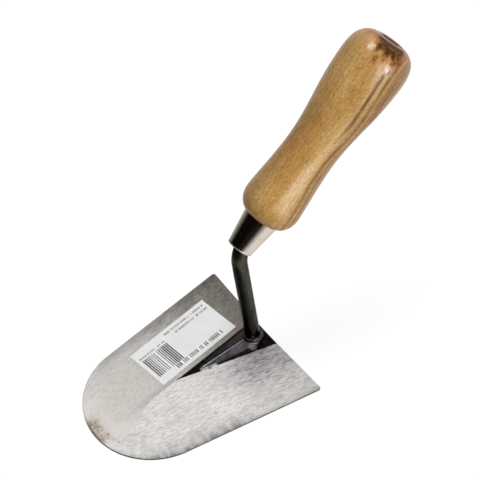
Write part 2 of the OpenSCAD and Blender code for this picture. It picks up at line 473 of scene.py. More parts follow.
def shank_path():
    """The middle of the bent bar as a curve, with the bar's radius at each point."""
    start = Vector((0, 0, BLADE_T))
    up = Vector((math.sin(NECK_LEAN), 0, math.cos(NECK_LEAN)))
    out = Vector((-up.z, 0, up.x))
    bend_start = start + up * NECK_LEN
    bend_centre = bend_start + out * BEND_R
    points = [(start + up * NECK_LEN * i / STRAIGHT_STEPS, BAR_R) for i in range(STRAIGHT_STEPS)]
    for step in range(BEND_STEPS + 1):
        turn = BEND_TURN * step / BEND_STEPS
        place = bend_centre - out * BEND_R * math.cos(turn) + up * BEND_R * math.sin(turn)
        points.append((place, BAR_R))
    tang_end = SHOULDER + HANDLE_AXIS * TANG_LEN
    tang_start = SHOULDER - HANDLE_AXIS * TENON_LEN
    points.append((tang_start, TANG_R))
    points.append((tang_end - HANDLE_AXIS * TANG_TAPER, TANG_R))
    points.append((tang_end, TANG_TIP_R))
    data = bpy.data.curves.new("shank path", "CURVE")
    data.dimensions = "3D"
    spline = data.splines.new("POLY")
    spline.points.add(len(points) - 1)
    for spot, (place, radius) in zip(spline.points, points):
        spot.co = (*place, 1)
        spot.radius = radius
    path = bpy.data.objects.new("shank path", data)
    bpy.context.scene.collection.objects.link(path)
    return path


def bent_shank(finish):
    """The round bar that makes the neck, the bend and the tang."""
    wiring, size = geometry_tree("bent shank", BAR_INPUTS)
    middle = wiring.out(wiring.add("GeometryNodeObjectInfo", {"Object": size["Path"]}), "Geometry")
    ring = wiring.add("GeometryNodeCurvePrimitiveCircle", {"Resolution": BAR_SIDES, "Radius": 1.0})
    radius = wiring.out(wiring.add("GeometryNodeInputRadius"))
    sweep = {"Curve": middle, "Profile Curve": wiring.out(ring), "Scale": radius, "Fill Caps": True}
    skin = wiring.out(wiring.add("GeometryNodeCurveToMesh", sweep))
    tree = end_tree(wiring, roughen(wiring, skin, size["Unevenness"], size["Lump size"]), size["Finish"])
    path = shank_path()
    settings = {"Path": path, "Unevenness": BAR_UNEVENNESS, "Lump size": BAR_LUMP, "Finish": finish}
    mesh = made_by(tree, settings, SCALE)
    bpy.data.objects.remove(path)
    return piece("bent_shank", mesh)


def roughening_tree():
    """A tree that makes any mesh uneven and gives it its finish."""
    wiring, size = geometry_tree("uneven skin", ["Geometry", "Unevenness", "Lump size", "Finish"])
    skin = roughen(wiring, size["Geometry"], size["Unevenness"], size["Lump size"])
    return end_tree(wiring, skin, size["Finish"])


skin_tree = roughening_tree()


def softened(name, node, finish, voxel, softness, unevenness, lump):
    """The node's own shape with softened edges and an uneven skin. Sizes in mm."""
    mesh = frame["nodes"][node].data.copy()
    mesh.materials.clear()
    shape = bmesh.new()
    shape.from_mesh(mesh)
    bmesh.ops.remove_doubles(shape, verts=shape.verts, dist=MERGE * MM)
    shape.to_mesh(mesh)
    shape.free()
    holder = bpy.data.objects.new("holder", mesh)
    fill = holder.modifiers.new("fill", "REMESH")
    fill.mode = "VOXEL"
    fill.voxel_size = voxel * MM
    soften = holder.modifiers.new("soften", "SMOOTH")
    soften.iterations = softness
    settings = {"Unevenness": unevenness * MM, "Lump size": lump * MM, "Finish": finish}
    add_tree(holder, skin_tree, settings)
    return piece(name, plain_mesh(holder), crease=180)


def forged_foot(finish):
    """The low forging that takes the neck's lower end."""
    return softened("forged_foot", "foot", finish, voxel=0.2, softness=4, unevenness=0.16, lump=3.0)


def tack_welds(finish):
    """The tack welds that hold the foot on the blade."""
    return softened("tack_welds", "foot_tacks", finish, voxel=0.15, softness=3, unevenness=0.5, lump=1.0)


# Straight edges on the blade's top, each through a point with a slope: the two sides of the web
# left black by the grinding, and the seam where the two ground halves meet. The near half is that of +Y
FAR_EDGE = ((25.0, -6.2), 0.135)
NEAR_EDGE = ((20.0, 6.5), -0.237)
SEAM = ((56.0, -2.2), 0.135)
GRIND_SLOPE = 0.008
EDGE_ROUND = 0.25
OUTLINE_STEP = 1.0
TOE_STEPS = 150
# The toe's arc touches both tapering sides and ends at the blade's full length
HALF_HEEL = HEEL_W / 2 * math.cos(SIDE_TAPER)
TOE_R = (HALF_HEEL - (BLADE_LEN + HEEL_SWEEP) * math.sin(SIDE_TAPER)) / (1 - math.sin(SIDE_TAPER))
TOE_CENTRE_X = TOE_X - TOE_R
CORNER_STEPS = 8
BLADE_RINGS = 30
EDGE_BANDS = 3
SPINE_START = 4.0


def line_at(line, x):
    """Place across the blade of a straight edge."""
    (x0, y0), slope = line
    return y0 + slope * (x - x0)


def blade_top(x, y):
    """Height of the blade's upper face: level on the black web, falling gently over each ground half."""
    near = y - max(line_at(NEAR_EDGE, x), line_at(SEAM, x))
    far = max(line_at(FAR_EDGE, x), line_at(SEAM, x)) - y
    return BLADE_T - GRIND_SLOPE * max(0.0, near, far)


def arc(centre, radius, start, end, steps):
    """Points of an arc about a centre, with the angles in radians."""
    turns = [start + (end - start) * i / steps for i in range(steps + 1)]
    return [centre + radius * Vector((math.cos(a), math.sin(a))) for a in turns]


def blade_outline():
    """The blade's outline from above: straight heel, swept-back corners, tapering sides and round toe."""
    corner = Vector((HEEL_X - HEEL_SWEEP, HEEL_W / 2))
    flat_end = Vector((HEEL_X, HEEL_FLAT_W / 2))
    heel_way = (flat_end - corner).normalized()
    side_way = Vector((math.cos(SIDE_TAPER), -math.sin(SIDE_TAPER)))
    half_angle = heel_way.angle(side_way) / 2
    centre = corner + (heel_way + side_way).normalized() * CORNER_R / math.sin(half_angle)
    heel_normal = math.atan2(heel_way.y, heel_way.x) + math.radians(270)
    side_normal = math.radians(90) - SIDE_TAPER
    toe_centre = Vector((TOE_CENTRE_X, 0))
    bends = [Vector((HEEL_X, 0)), flat_end]
    bends += arc(centre, CORNER_R, heel_normal, side_normal, CORNER_STEPS)
    bends += arc(toe_centre, TOE_R, side_normal, 0, TOE_STEPS // 2)
    left = [bends[0]]
    for start, end in zip(bends, bends[1:]):
        steps = max(1, round((end - start).length / OUTLINE_STEP))
        left += [start.lerp(end, (i + 1) / steps) for i in range(steps)]
    right = [Vector((p.x, -p.y)) for p in left[-2:0:-1]]
    return left + right, toe_centre.x


def ground_blade(steel, edge):
    """The blade: rings from its cut edge to a spine on the upper face, and one flat lower face."""
    outline, spine_end = blade_outline()
    spine = [Vector((min(max(p.x, SPINE_START), spine_end), 0)) for p in outline]
    ways = list(zip(outline, spine))
    shares = [min(1.0, EDGE_ROUND / (middle - point).length) for point, middle in ways]
    inset = [point + (middle - point) * share for (point, middle), share in zip(ways, shares)]
    shape = bmesh.new()

    def ring(places, height=None):
        """A loop of points at one height, or on the upper face where no height is given."""
        heights = [blade_top(*place) if height is None else height for place in places]
        return [shape.verts.new((*place, z)) for place, z in zip(places, heights)]

    top_edge = ring(inset)
    wall_top = ring(outline)
    for vert in wall_top:
        vert.co.z -= EDGE_ROUND
    bottom = ring(inset, 0)
    rings = [bottom, ring(outline, EDGE_ROUND), wall_top, top_edge]
    for i in range(BLADE_RINGS):
        share = (i + 1) / BLADE_RINGS
        rings.append(ring([point.lerp(middle, share) for point, middle in ways]))
    for band, (lower, upper) in enumerate(zip(rings, rings[1:])):
        for i in range(len(outline)):
            j = (i + 1) % len(outline)
            face = shape.faces.new((lower[i], lower[j], upper[j], upper[i]))
            face.material_index = int(band < EDGE_BANDS)
    shape.faces.new(bottom[::-1])
    bmesh.ops.remove_doubles(shape, verts=shape.verts, dist=MERGE)
    bmesh.ops.dissolve_degenerate(shape, edges=shape.edges, dist=MERGE)
    return piece("ground_blade", drawn_mesh("ground_blade", shape, steel, edge), crease=25)


STICKER_STEPS = 40
STICKER_LIFT = 0.02
CURL = 0.35
CURL_REACH = 14.0


def on_sticker(along, across, lift):
    """A place on the sticker in mm: along it from the heel end, and across it from the blade's middle."""
    turned = Matrix.Rotation(SIDE_TAPER, 4, "Z") @ Vector((along, -across, 0))
    place = STICKER_CORNER + turned
    from_corner = math.hypot(along, across)
    curl = CURL * max(0.0, 1 - from_corner / CURL_REACH) ** 2
    return Vector((place.x, place.y, blade_top(place.x, place.y) + STICKER_LIFT + curl + lift))


def paper_sticker(finish):
    """The paper sticker, which follows the blade and lifts a little at one corner."""
    shape = bmesh.new()
    sheets = []
    for lift in (0, STICKER_T - STICKER_LIFT):
        rows = []
        for i in range(STICKER_STEPS + 1):
            along = STICKER_LEN * i / STICKER_STEPS
            steps = [STICKER_W * j / STICKER_STEPS for j in range(STICKER_STEPS + 1)]
            rows.append([shape.verts.new(on_sticker(along, across, lift)) for across in steps])
        sheets.append(rows)
    rims = []
    for rows in sheets:
        for first, second in zip(rows, rows[1:]):
            for j in range(STICKER_STEPS):
                shape.faces.new((first[j], first[j + 1], second[j + 1], second[j]))
        inner_side = [row[0] for row in rows]
        outer_side = [row[-1] for row in rows[-2::-1]]
        rims.append(inner_side + rows[-1][1:] + outer_side + rows[0][-2:0:-1])
    lower, upper = rims
    for i in range(len(lower)):
        j = (i + 1) % len(lower)
        shape.faces.new((lower[i], lower[j], upper[j], upper[i]))
    return piece("paper_sticker", drawn_mesh("paper_sticker", shape, finish))


INK_T = 0.06
PRINT_SIZES = ["Count", "Pitch", "Height", "Narrow", "Wide", "Kept"]
PRINT_KINDS = {**SOCKET_KINDS, "Count": "NodeSocketInt", "Seed": "NodeSocketInt"}


def print_tree():
    """A row of printed strips along X, of random width, with some left out."""
    wiring, size = geometry_tree("printed strips", [*PRINT_SIZES, "Seed", "Finish"], PRINT_KINDS)
    step = wiring.point(size["Pitch"], 0.0)
    row = wiring.out(wiring.add("GeometryNodeMeshLine", {"Count": size["Count"], "Offset": step}))
    strip = wiring.add("GeometryNodeMeshCube", {"Size": wiring.point(1.0, size["Height"], INK_T)})
    chance = {"Probability": size["Kept"], "Seed": size["Seed"]}
    kept = wiring.add("FunctionNodeRandomValue", chance, data_type="BOOLEAN")
    widths = {2: size["Narrow"], 3: size["Wide"], "Seed": size["Seed"]}
    width = wiring.add("FunctionNodeRandomValue", widths, data_type="FLOAT")
    scale = wiring.point(wiring.out(width, 1), 1.0, 1.0)
    spread = {"Points": row, "Selection": wiring.out(kept, 3), "Instance": wiring.out(strip), "Scale": scale}
    strips = wiring.out(wiring.add("GeometryNodeInstanceOnPoints", spread))
    return end_tree(wiring, strips, size["Finish"])


# Rows of print: start along and across the sticker in mm, and the strips' sizes as PRINT_SIZES names them
PRINT_ROWS = {
    "first bars": ((38.4, 14.2), (7, 1.38, 16.5, 0.3, 1.0, 1.0)),
    "second bars": ((49.0, 14.2), (7, 1.38, 16.5, 0.3, 1.0, 1.0)),
    "rule by the bars": ((37.4, 24.3), (24, 0.9, 1.4, 0.2, 0.5, 0.85)),
    "first rule": ((2.0, 27.8), (38, 0.88, 1.3, 0.25, 0.6, 0.85)),
    "second rule": ((2.6, 24.4), (29, 0.92, 1.4, 0.25, 0.65, 0.78)),
    "tall rule": ((8.6, 4.1), (29, 1.35, 3.0, 0.4, 1.0, 0.75)),
}


def sticker_print(finish):
    """All the rows of plain bars and rules on the sticker, as thin ink that follows the paper."""
    tree = print_tree()
    ink = bmesh.new()
    for seed, (start, sizes) in enumerate(PRINT_ROWS.values()):
        settings = {**dict(zip(PRINT_SIZES, sizes)), "Seed": seed, "Finish": finish}
        row = made_by(tree, settings, Matrix.Translation((*start, 0)))
        for vert in row.vertices:
            lift = STICKER_T - STICKER_LIFT + vert.co.z
            vert.co = on_sticker(vert.co.x, vert.co.y, lift)
        ink.from_mesh(row)
        bpy.data.meshes.remove(row)
    return piece("sticker_print", drawn_mesh("sticker_print", ink, finish))


# Finishes


def seen(red, green, blue):
    """A colour as a screen shows it, 0 to 255 a channel, turned into linear light."""
    def linear(value):
        """One channel in linear light."""
        value /= 255
        return value / 12.92 if value <= 0.04045 else ((value + 0.055) / 1.055) ** 2.4

    return (linear(red), linear(green), linear(blue), 1.0)


class Finish(Wiring):
    """A procedural material round one Principled shader."""

    def __init__(self, name, **constants):
        self.material = bpy.data.materials.new(name)
        self.material.use_nodes = True
        super().__init__(self.material.node_tree)
        self.shader = self.tree.nodes["Principled BSDF"]
        for word, value in constants.items():
            self.shader.inputs[word.replace("_", " ")].default_value = value

    def set(self, socket, value):
        """Brings a wire to one of the shader's sockets, or sets its value."""
        self.feed(self.shader.inputs[socket], value)

    def millimetres(self, turn=0.0, centre=Vector((0, 0, 0))):
        """The piece's own coordinates in mm from a centre, turned about Y."""
        coords = self.out(self.add("ShaderNodeTexCoord"), "Object")
        shift = Matrix.Rotation(turn, 3, "Y") @ centre
        inputs = {"Vector": coords, "Location": -shift, "Rotation": (0, turn, 0), "Scale": (1 / MM,) * 3}
        return self.out(self.add("ShaderNodeMapping", inputs))

    def turned(self, where, angle):
        """Coordinates turned about Z."""
        return self.out(self.add("ShaderNodeMapping", {"Vector": where, "Rotation": (0, 0, angle)}))

    def patterns(self, where, rows):
        """Named noise patterns, each from its lump size, detail and roughness."""
        return {name: self.noise(where, *row) for name, row in rows.items()}

    def mottled(self, pattern, first, second):
        """A colour that a pattern shifts between two."""
        return self.mix(self.rise(pattern, 0.35, 0.65), first, second)

    def bump(self, height, depth):
        """Fine relief of this depth in mm."""
        node = self.add("ShaderNodeBump", {"Height": height, "Distance": depth * MM, "Strength": 1.0})
        self.set("Normal", self.out(node))


HONEY = seen(193, 150, 85)
PALE_WOOD = seen(210, 172, 109)
TAN_WOOD = seen(175, 129, 67)
FLECK = seen(120, 76, 34)
HEART_ZONE = seen(150, 107, 60)
HEART = seen(104, 66, 32)
SCORCH = seen(54, 30, 11)
AMBER = seen(150, 86, 25)
FACE_WOOD = seen(84, 56, 40)
RIM_HIGHLIGHT = seen(192, 156, 134)
RAW_HOLE = seen(116, 82, 62)
# Patterns in the wood: lump size in mm, the last one along the handle, then detail and roughness
WOOD_PATTERNS = {
    "waver": ((9, 9, 30), 2.0, 0.5),
    "tone": ((11, 11, 40), 3.0, 0.5),
    "mottle": ((0.9, 0.9, 1.7), 4.0, 0.68),
    "patches": ((3.0, 3.0, 7.0), 2.0, 0.5),
    "flecks": ((0.55, 0.55, 2.2), 2.0, 0.7),
    "pale flecks": ((0.9, 0.9, 3.2), 1.0, 0.4),
    "blotch": ((3.6, 3.6, 5.0), 3.0, 0.55),
    "tongue": ((2.6, 2.6, 40.0), 2.0, 0.5),
}
# Direction across the growth rings, and of the scorched patch, as turns about the handle's line
RING_TURN = math.radians(124.6)
SCORCH_TURN = math.radians(46)
# Below, a pair in mm without another meaning says where a change starts and where it is full
# Slow sideways wander of the rings along the handle
WANDER_LOW = 1.35
WANDER_HIGH = 0.75
WANDER_FADE = (85.0, 60.0)
WANDER_FROM = 62.0
WANDER_LEN = 11.0
WANDER_DRIFT = 0.8
DRIFT_SPAN = (55.0, 80.0)
WAVER = 0.9
RING_PACE = 2.6
# Darker wood by the heart across the rings, and painted shade on one side of the handle
HEART_EDGE = (12.0, 15.5)
HEART_FADE = (55.0, 75.0)
SHADED_SIDE_EDGE = (-4.0, -15.0)
SHADED_SIDE_FADE = (95.0, 60.0)
# Dark heartwood streaks: place across the rings, half width, strength, and where each starts and ends
STREAKS = [
    (8.05, 1.9, 0.9, 58.0, 114.0),
    (11.9, 1.5, 0.85, -15.0, 130.0),
    (14.4, 0.9, 0.5, -10.0, 130.0),
    (16.0, 1.7, 0.6, 66.0, 130.0),
    (13.2, 0.5, 0.3, 10.0, 130.0),
    (17.6, 1.2, 0.6, 88.0, 130.0),
]
STREAK_CORE = 0.1
STREAK_PATCH = (12, 12, 24)
STREAK_SHIFT = (17.0, 0.0, 31.0)
STREAK_IN = 22.0
STREAK_OUT = 6.0
STREAK_DULL = (112.0, 107.0)
# Scorched patch: towards its side of the handle, off its middle, its raggedness, and distances from the butt
SCORCH_FACE = (0.0, 7.0)
SCORCH_SIDES = (10.5, 6.0)
TONGUE_REACH = 16.0
BLOTCH_REACH = 12.0
STAIN_SPAN = (14.0, 5.0)
BURN_SPAN = (11.0, 4.5)
BURN_RIM = (3.0, 0.8)
# Amber rounding of the butt, its end face with a painted highlight on its rim, and the hole
ROUND_FACE = (-8.0, 0.0)
ROUND_REACH = 5.0
ROUND_SPAN = (4.5, 1.5)
FACE_SPAN = (0.5, 0.1)
RIM_HIGHLIGHT_SPAN = (7.7, 8.2)
HOLE_EDGE = 0.3


def growth_rings(wood, pattern, across, along):
    """Place across the growth rings, which wander slowly along the handle."""
    reach = wood.rise(along, *WANDER_FADE) * (WANDER_LOW - WANDER_HIGH) + WANDER_HIGH
    wander = wood.math("SINE", (along - WANDER_FROM) * (1 / WANDER_LEN)) * reach
    drift = wood.rise(along, *DRIFT_SPAN) * WANDER_DRIFT
    return across - wander - drift + (pattern["waver"] - 0.5) * WAVER


def plain_wood(wood, pattern, across, ring, along):
    """The wood's honey colour with faint rings, darker by the heart, and with painted shade on one side."""
    colour = wood.mottled(pattern["tone"], TAN_WOOD, PALE_WOOD)
    colour = wood.mix(0.5, colour, HONEY)
    faint = wood.math("SINE", ring * RING_PACE) * 0.5 + 0.5
    colour = wood.mix(faint * 0.14, colour, FLECK)
    by_heart = wood.rise(ring, *HEART_EDGE) * (0.8 - wood.rise(along, *HEART_FADE) * 0.12)
    colour = wood.mix(by_heart, colour, HEART_ZONE)
    # Painted shade on one side of the handle, over its lower part
    outer = wood.rise(across, *SHADED_SIDE_EDGE) * wood.rise(along, *SHADED_SIDE_FADE)
    return wood.mix(outer * 0.3, colour, HEART_ZONE)


def heart_streaks(wood, place, ring, along):
    """How dark the heartwood streaks are, from 0 to 1."""
    heart = 0.0
    for order, (spot, half_width, strength, start, end) in enumerate(STREAKS):
        shifted = wood.vector("ADD", place, [order * step for step in STREAK_SHIFT])
        patchy = wood.noise(shifted, STREAK_PATCH) * 0.8 + 0.5
        streak = wood.rise(wood.math("ABSOLUTE", ring - spot), half_width, STREAK_CORE) * strength
        ends = wood.rise(along, start, start + STREAK_IN) * wood.rise(along, end, end - STREAK_OUT)
        heart = wood.math("MAXIMUM", streak * ends * patchy, heart)
    return wood.math("MINIMUM", heart, 0.92)


def scorched_butt(wood, pattern, x, y, to_butt):
    """How amber and how charred the wood is round the butt, each from 0 to 1."""
    facing = x * math.cos(SCORCH_TURN) + y * math.sin(SCORCH_TURN)
    sideways = wood.math("ABSOLUTE", y * math.cos(SCORCH_TURN) - x * math.sin(SCORCH_TURN))
    blotch = pattern["blotch"]
    ragged = to_butt - (pattern["tongue"] - 0.5) * TONGUE_REACH - (blotch - 0.5) * BLOTCH_REACH
    patch = wood.rise(facing, *SCORCH_FACE) * wood.rise(sideways, *SCORCH_SIDES)
    to_edge = to_butt - (blotch - 0.5) * ROUND_REACH
    rounding = wood.rise(facing, *ROUND_FACE) * wood.rise(to_edge, *ROUND_SPAN)
    stain = wood.math("MAXIMUM", patch * wood.rise(ragged, *STAIN_SPAN), rounding * 0.95)
    deep = wood.math("MAXIMUM", wood.rise(blotch, 0.4, 0.58), wood.rise(to_butt, *BURN_RIM))
    burn = patch * wood.rise(ragged, *BURN_SPAN) * (0.44 + deep * 0.52)
    return stain, burn


def varnished_beech():
    """Varnished beech: honey tone, faint rings, short flecks, dark heart streaks and a scorched rim."""
    wood = Finish("varnished_beech", Coat_Roughness=0.2, Coat_IOR=1.8, Specular_IOR_Level=0.1)
    place = wood.millimetres(HANDLE_TURN, SHOULDER)
    x, y, along = wood.split(place)
    to_butt = HANDLE_LEN - along
    pattern = wood.patterns(place, WOOD_PATTERNS)
    flecks = pattern["flecks"]
    mottle = pattern["mottle"]
    patches = pattern["patches"]
    across = x * math.cos(RING_TURN) + y * math.sin(RING_TURN)
    ring = growth_rings(wood, pattern, across, along)
    heart = heart_streaks(wood, place, ring, along)
    colour = wood.mix(heart, plain_wood(wood, pattern, across, ring, along), HEART)
    colour = wood.shade(colour, 0.24 + mottle + patches * 0.44)
    colour = wood.mix(wood.rise(flecks, 0.5, 0.68) * 0.6, colour, FLECK)
    colour = wood.mix(wood.rise(pattern["pale flecks"], 0.58, 0.72) * 0.3, colour, PALE_WOOD)
    stain, burn = scorched_butt(wood, pattern, x, y, to_butt)
    colour = wood.mix(stain * 0.85, colour, AMBER)
    colour = wood.mix(burn, colour, SCORCH)
    radius = wood.far_off(x, y)
    at_end = wood.rise(to_butt, *FACE_SPAN)
    colour = wood.mix(at_end * 0.9, colour, FACE_WOOD)
    # Painted highlight on the rim of the end face
    colour = wood.mix(at_end * wood.rise(radius, *RIM_HIGHLIGHT_SPAN) * 0.8, colour, RIM_HIGHLIGHT)
    colour = wood.mix(wood.rise(radius, HOLE_R + HOLE_EDGE, HOLE_R), colour, RAW_HOLE)
    wood.set("Base Color", colour)
    wood.set("Roughness", 0.38 + flecks * 0.2)
    dull_heart = heart * wood.rise(along, *STREAK_DULL)
    bare = wood.math("MAXIMUM", wood.math("MINIMUM", burn * 1.8, 1.0), dull_heart)
    wood.set("Coat Weight", 0.46 - bare * 0.43)
    wood.bump(flecks * 0.03 + mottle * 0.03 + patches * 0.4, 1.0)
    return wood.material


NEAR_STEEL = seen(191, 189, 187)
# Near-half tone with painted shade, for the part by the foot
NEAR_SHADED = seen(181, 175, 177)
# Far-half tones from the shaded heel to the lit toe, for the painted light along that half
FAR_SHADED = seen(104, 100, 94)
FAR_SHADED_BY_WEB = seen(107, 102, 99)
FAR_MIDDLE = seen(181, 177, 173)
FAR_LIT = seen(195, 191, 187)
SCALE_BLACK = seen(13, 13, 10)
SCALE_WORN = seen(34, 32, 30)
RUST = seen(106, 93, 64)
RUST_HALO = seen(150, 140, 118)
# Patterns in the steel: lump size in mm, on the ground halves the first one along the grinding,
# then detail and roughness
SKIN_PATTERNS = {
    "ragged": ((4, 4, 4), 4.0, 0.6),
    "scale": ((3, 3, 3), 3.0, 0.5),
    "spots": ((2.6, 4.0, 2.6), 4.0, 0.6),
    "pits": ((1.4, 1.4, 1.4), 2.0, 0.5),
}
NEAR_PATTERNS = {
    "blotch": ((8, 5, 5), 4.0, 0.65),
    "streak": ((4.0, 0.8, 0.8), 3.0, 0.72),
    "grit": ((2.2, 1.1, 1.1), 2.0, 0.5),
    "cloudy": ((24, 12, 12), 2.0, 0.5),
    "chatter": ((4.5, 16, 16), 3.0, 0.6),
}
FAR_PATTERNS = {
    "fine": ((3.6, 0.7, 0.7), 3.0, 0.7),
    "cloud": ((20, 9, 9), 2.0, 0.5),
}
# Turns that bring each half's grinding lines onto X: the near half is ground along its side
NEAR_GRAIN = SIDE_TAPER
FAR_GRAIN = -math.radians(16)
# Distance of the blade's straight sides from the origin, square to them
SIDE_DISTANCE = HALF_HEEL + (HEEL_X - HEEL_SWEEP) * math.sin(SIDE_TAPER)
# Below, a pair in mm without another meaning says where a change starts and where it is full
# Where the toe's arc takes over from the straight sides, and the height of the underside
ARC_SPAN = (TOE_CENTRE_X + 6.0, TOE_CENTRE_X + 7.0)
UNDERSIDE = (0.9, 0.5)
# Ragged borders of the two halves, with a seam that frays towards the toe
RAGGED_REACH = 1.4
FRAY_START = 76.0
EDGE_BLUR = (-0.25, 0.25)
SEAM_BLUR = 0.3
WEB_END = (SEAM[0][0] - 1.0, SEAM[0][0] + 1.0)
# Stretch along the foot where the near half was dressed further in
DRESSED_START = (29.0, 31.5)
DRESSED_END = (41.0, 38.0)
DRESSED_REACH = 1.8
# Painted shade on the near half by the foot: X and Y of its middle, its reach along each, and its reach
# inwards
FOOT_SHADE_PLACE = (8.0, 13.0)
FOOT_SHADE_REACH = (36.0, 26.0)
FOOT_SHADE_INNER = 8.0
# Shades on the near half: painted shade towards the heel, the rubbed band along its edge, and the heel
# corner
HEEL_SHADE_SPAN = (32.0, 16.0)
RUBBED_START = (26.0, 42.0)
RUBBED_END = (104.0, 95.0)
RUBBED_BAND = (13.0, 0.8)
RUBBED_REACH = 8.0
NEAR_RIM = (3.5, 0.5)
CORNER_X = (12.0, -6.0)
CORNER_Y = (40.0, 52.0)
# Painted light: where the far half lightens along X, first quickly and then slowly
FAR_QUICK = (-12.0, 84.0)
FAR_SLOW = (84.0, 118.0)
FAR_CLOUDS = 30.0
# Shades on the far half: by the web, by the seam and along its edge
WEB_BAND = (-22.0, -2.0)
SEAM_BAND = (-5.0, -0.5)
SEAM_START = (50.0, 58.0)
SEAM_END = (92.0, 78.0)
FAR_RIM = (9.0, 1.0)
FAR_RIM_END = (95.0, 80.0)
# Rust at the tip: distances from the toe's edge, its middle and reach across and its start along the blade,
# and the row of pits beside it
RUST_EDGE = (2.4, 0.4)
RUST_SPOTS = (9.0, 4.0)
RUST_SPREAD = (12.0, 3.0)
RUST_MIDDLE = -1.0
RUST_SIDES = (14.0, 4.0)
RUST_START = (98.0, 102.0)
PIT_ROW = 6.4
PIT_BAND = (1.4, 0.2)
PIT_START = (1.0, 5.0)
PIT_END = (20.0, 15.0)


def side_of(line, x, y):
    """Distance in mm along Y from a straight edge on the blade's top."""
    (x0, y0), slope = line
    return y - x * slope - (y0 - slope * x0)


def ground_halves(steel, ragged, x, y, z):
    """Where the near and the far half are ground, from 0 to 1, and the distance from the frayed seam."""
    under = steel.rise(z, *UNDERSIDE)
    frayed = steel.math("MAXIMUM", x - FRAY_START, 0.0)
    seam_side = side_of(SEAM, x, y) + ragged * (frayed * 0.06 + 0.35)
    past_seam = steel.rise(seam_side, -SEAM_BLUR, frayed * 0.6 + SEAM_BLUR)
    dressed = steel.rise(x, *DRESSED_START) * steel.rise(x, *DRESSED_END) * DRESSED_REACH
    past_web = steel.rise(side_of(NEAR_EDGE, x, y) + ragged + dressed, *EDGE_BLUR)
    near = past_web * past_seam * (1.0 - under)
    far_web = side_of(FAR_EDGE, x, y) + ragged * 0.5
    beyond = steel.math("MAXIMUM", 1.0 - steel.rise(far_web, *EDGE_BLUR), steel.rise(x, *WEB_END))
    return near, steel.math("MAXIMUM", beyond, under), seam_side


def near_half(steel, pattern, coarse, rim_gap, x, y):
    """Colour of the coarsely ground near half: painted shade by the foot and towards the heel, rubbed along
    its edge.
    """
    blotch = pattern["blotch"] - 0.5
    # Painted shade on the part of the near half by the foot
    foot_shade_x = steel.math("MAXIMUM", (x - FOOT_SHADE_PLACE[0]) * (1 / FOOT_SHADE_REACH[0]), 0.0)
    foot_shade_y = (y - FOOT_SHADE_PLACE[1]) * (1 / FOOT_SHADE_REACH[1])
    foot_shade_y = steel.math("MAXIMUM", foot_shade_y, (FOOT_SHADE_PLACE[1] - y) * (1 / FOOT_SHADE_INNER))
    shaded_by_foot = steel.rise(steel.far_off(foot_shade_x, foot_shade_y) + blotch * 0.6, 1.0, 0.25)
    texture = (coarse - 0.62) * (0.46 + shaded_by_foot * 0.34) + (pattern["grit"] - 0.5) * 0.4
    texture = texture + blotch * 0.3 + (pattern["cloudy"] - 0.5) * 0.35
    tone = steel.mix(shaded_by_foot, NEAR_STEEL, NEAR_SHADED)
    # Painted shade towards the heel
    tone = steel.shade(tone, 1.0 + texture - steel.rise(x, *HEEL_SHADE_SPAN) * 0.08)
    rubbed = steel.rise(x, *RUBBED_START) * steel.rise(x, *RUBBED_END)
    rubbed = rubbed * (0.18 + steel.rise(pattern["chatter"], 0.38, 0.62) * 0.25)
    worn = steel.rise(rim_gap + blotch * RUBBED_REACH, *RUBBED_BAND) * rubbed
    worn = worn + steel.rise(rim_gap, *NEAR_RIM) * 0.2
    corner = steel.rise(x, *CORNER_X) * steel.rise(y, *CORNER_Y)
    return steel.shade(tone, 1.0 - worn - corner * 0.14)


def far_half(steel, pattern, seam_side, rim_gap, x, y):
    """Colour of the finely ground far half, with painted light that lightens it from the heel to the toe."""
    clouded = x + (pattern["cloud"] - 0.5) * FAR_CLOUDS
    # Painted light: shaded tones at the heel give way to lit tones towards the toe
    lighter = steel.rise(clouded, *FAR_QUICK)
    by_web = steel.rise(side_of(FAR_EDGE, x, y), *WEB_BAND)
    tone = steel.mix(lighter, steel.mix(by_web, FAR_SHADED, FAR_SHADED_BY_WEB), FAR_MIDDLE)
    tone = steel.mix(steel.rise(clouded, *FAR_SLOW), tone, FAR_LIT)
    lines = (steel.rise(pattern["fine"], 0.3, 0.7) - 0.5) * (0.82 - lighter * 0.54)
    tone = steel.shade(tone, 1.0 + lines)
    by_seam = steel.rise(seam_side, *SEAM_BAND) * steel.rise(x, *SEAM_START) * steel.rise(x, *SEAM_END)
    by_rim = steel.rise(rim_gap, *FAR_RIM) * steel.rise(x, *FAR_RIM_END)
    return steel.shade(tone, 1.0 - by_seam * 0.16 - by_rim * 0.26)


def rusted_toe(steel, pattern, colour, toe_gap, on_arc, x, y):
    """A colour of the blade with rust at the tip and a row of small pits added."""
    spots = steel.rise(pattern["spots"], 0.4, 0.58) * steel.rise(toe_gap, *RUST_SPOTS)
    stain = steel.math("MINIMUM", steel.rise(toe_gap, *RUST_EDGE) * 0.75 + spots * 0.6, 0.85)
    sideways = steel.math("ABSOLUTE", y - RUST_MIDDLE)
    at_tip = steel.rise(sideways, *RUST_SIDES) * steel.rise(x, *RUST_START)
    colour = steel.mix(steel.rise(toe_gap, *RUST_SPREAD) * at_tip * 0.45, colour, RUST_HALO)
    colour = steel.mix(stain * at_tip, colour, RUST)
    in_row = steel.rise(steel.math("ABSOLUTE", toe_gap - PIT_ROW), *PIT_BAND)
    in_row = in_row * steel.rise(y, *PIT_START) * steel.rise(y, *PIT_END) * on_arc
    pits = steel.rise(pattern["pits"], 0.48, 0.6) * in_row
    return steel.shade(colour, 1.0 - pits * 0.45)


